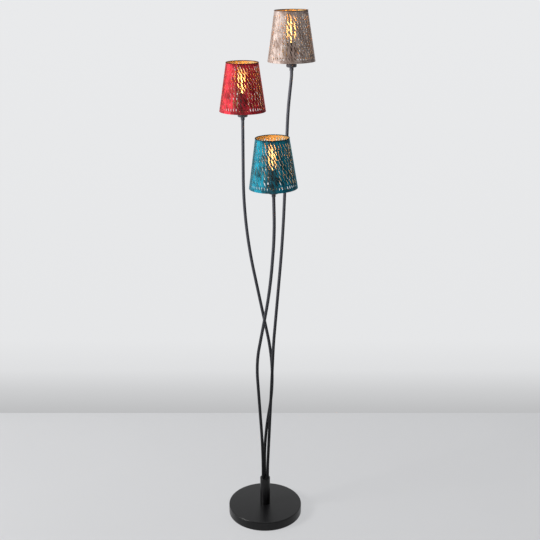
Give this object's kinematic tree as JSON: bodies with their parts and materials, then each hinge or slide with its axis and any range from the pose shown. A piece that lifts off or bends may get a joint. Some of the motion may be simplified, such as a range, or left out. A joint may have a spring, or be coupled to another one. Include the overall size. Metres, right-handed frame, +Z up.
{
  "type": "tree floor lamp",
  "caption": "Floor lamp whose bent stems rise from a weighted round base and part like branches, each under a pierced conical shade that is open at the top.",
  "frame": {"origin": "centre of the base on the floor", "axes": "+Z up along the lamp, +X to the right and -Y towards the viewer in the picture"},
  "size_m": [0.2945, 0.351, 1.6867],
  "materials": {
    "black_paint": "satin",
    "cast_weight": "rough",
    "zinc_steel": "satin",
    "foam": "matte",
    "black_plastic": "matte",
    "white_plastic": "matte",
    "brass": "satin",
    "gold_wire": "satin",
    "dark_wire": "satin",
    "red_velvet": "matte",
    "taupe_velvet": "matte",
    "teal_velvet": "matte",
    "warm_glass": "clear",
    "filament": "clear"
  },
  "bodies": {
    "stand": {"base_cover": "black_paint", "base_weight": "cast_weight", "base_plate": "zinc_steel", "plate_screws": "zinc_steel", "base_pad": "foam", "cable_bush": "black_plastic", "terminal_block": "white_plastic", "hub_tie": "zinc_steel", "tie_washer": "zinc_steel", "tie_nut": "zinc_steel", "hub_block": "zinc_steel", "hub_tube": "black_paint", "hub_cap": "black_paint", "hub_screw": "zinc_steel", "red_stem": "black_paint", "red_stem_collar": "black_paint", "red_holder_cap": "black_plastic", "red_holder_sleeve": "black_plastic", "red_holder_core": "white_plastic", "red_holder_shell": "brass", "red_holder_contact": "brass", "red_shade_ring": "black_plastic", "taupe_stem": "black_paint", "taupe_stem_collar": "black_paint", "taupe_holder_cap": "black_plastic", "taupe_holder_sleeve": "black_plastic", "taupe_holder_core": "white_plastic", "taupe_holder_shell": "brass", "taupe_holder_contact": "brass", "taupe_shade_ring": "black_plastic", "teal_stem": "black_paint", "teal_stem_collar": "black_paint", "teal_holder_cap": "black_plastic", "teal_holder_sleeve": "black_plastic", "teal_holder_core": "white_plastic", "teal_holder_shell": "brass", "teal_holder_contact": "brass", "teal_shade_ring": "black_plastic"},
    "red_shade": {"red_shade_carrier": "gold_wire", "red_shade_top_ring": "dark_wire", "red_shade_cover": "red_velvet"},
    "red_bulb": {"red_bulb_cap": "brass", "red_bulb_glass": "warm_glass", "red_bulb_filament": "filament"},
    "taupe_shade": {"taupe_shade_carrier": "gold_wire", "taupe_shade_top_ring": "dark_wire", "taupe_shade_cover": "taupe_velvet"},
    "taupe_bulb": {"taupe_bulb_cap": "brass", "taupe_bulb_glass": "warm_glass", "taupe_bulb_filament": "filament"},
    "teal_shade": {"teal_shade_carrier": "gold_wire", "teal_shade_top_ring": "dark_wire", "teal_shade_cover": "teal_velvet"},
    "teal_bulb": {"teal_bulb_cap": "brass", "teal_bulb_glass": "warm_glass", "teal_bulb_filament": "filament"}
  },
  "joints": [
    {"name": "red_shade_turn", "type": "hinge", "parent": "stand", "child": "red_shade", "pos_m": [-0.068, 0.081, 1.381], "axis": [0, 0, 1], "continuous": true},
    {"name": "red_bulb_turn", "type": "hinge", "parent": "stand", "child": "red_bulb", "pos_m": [-0.068, 0.081, 1.381], "axis": [0, 0, 1], "range_deg": [0, 1080]},
    {"name": "taupe_shade_turn", "type": "hinge", "parent": "stand", "child": "taupe_shade", "pos_m": [0.0815, 0.05, 1.536], "axis": [-0.014, 0, 0.9999], "continuous": true},
    {"name": "taupe_bulb_turn", "type": "hinge", "parent": "stand", "child": "taupe_bulb", "pos_m": [0.0815, 0.05, 1.536], "axis": [-0.014, 0, 0.9999], "range_deg": [0, 1080]},
    {"name": "teal_shade_turn", "type": "hinge", "parent": "stand", "child": "teal_shade", "pos_m": [0.027, -0.125, 1.188], "axis": [-0.0244, 0, 0.9997], "continuous": true},
    {"name": "teal_bulb_turn", "type": "hinge", "parent": "stand", "child": "teal_bulb", "pos_m": [0.027, -0.125, 1.188], "axis": [-0.0244, 0, 0.9997], "range_deg": [0, 1080]}
  ]
}
